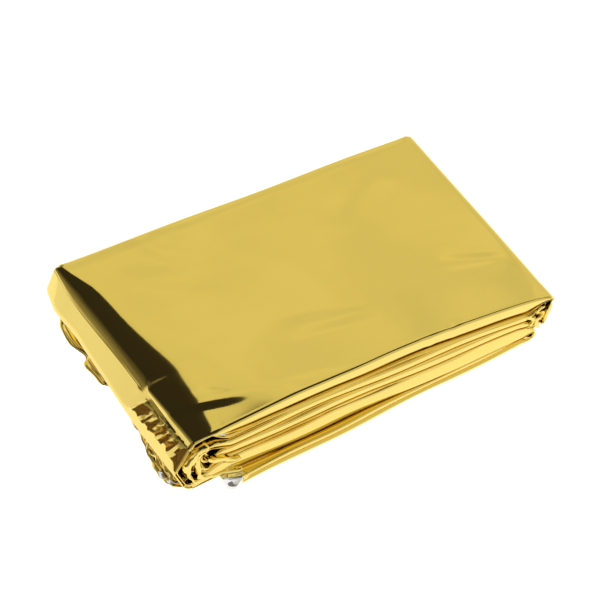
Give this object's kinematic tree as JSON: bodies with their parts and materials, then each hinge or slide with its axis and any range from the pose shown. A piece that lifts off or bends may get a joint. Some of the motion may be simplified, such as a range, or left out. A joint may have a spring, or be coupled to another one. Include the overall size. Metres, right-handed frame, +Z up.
{
  "type": "emergency foil blanket",
  "caption": "Emergency blanket of gold metallised film, folded over and over into a flat pocket-size packet with a creased end wall and a stack of fold edges.",
  "frame": {"origin": "centre of the packet's outline, on the surface that it lies on", "axes": "+X along the packet's length, from the tall creased wall to the other end; +Y across it, away from the stack of fold edges; +Z up"},
  "size_m": [0.1276, 0.0902, 0.0218],
  "materials": {
    "gold_film": "mirror-bright metallised polyester film, gold outside and silver on its reverse"
  },
  "bodies": {
    "root": {"folded_blanket": "gold_film"}
  },
  "joints": []
}
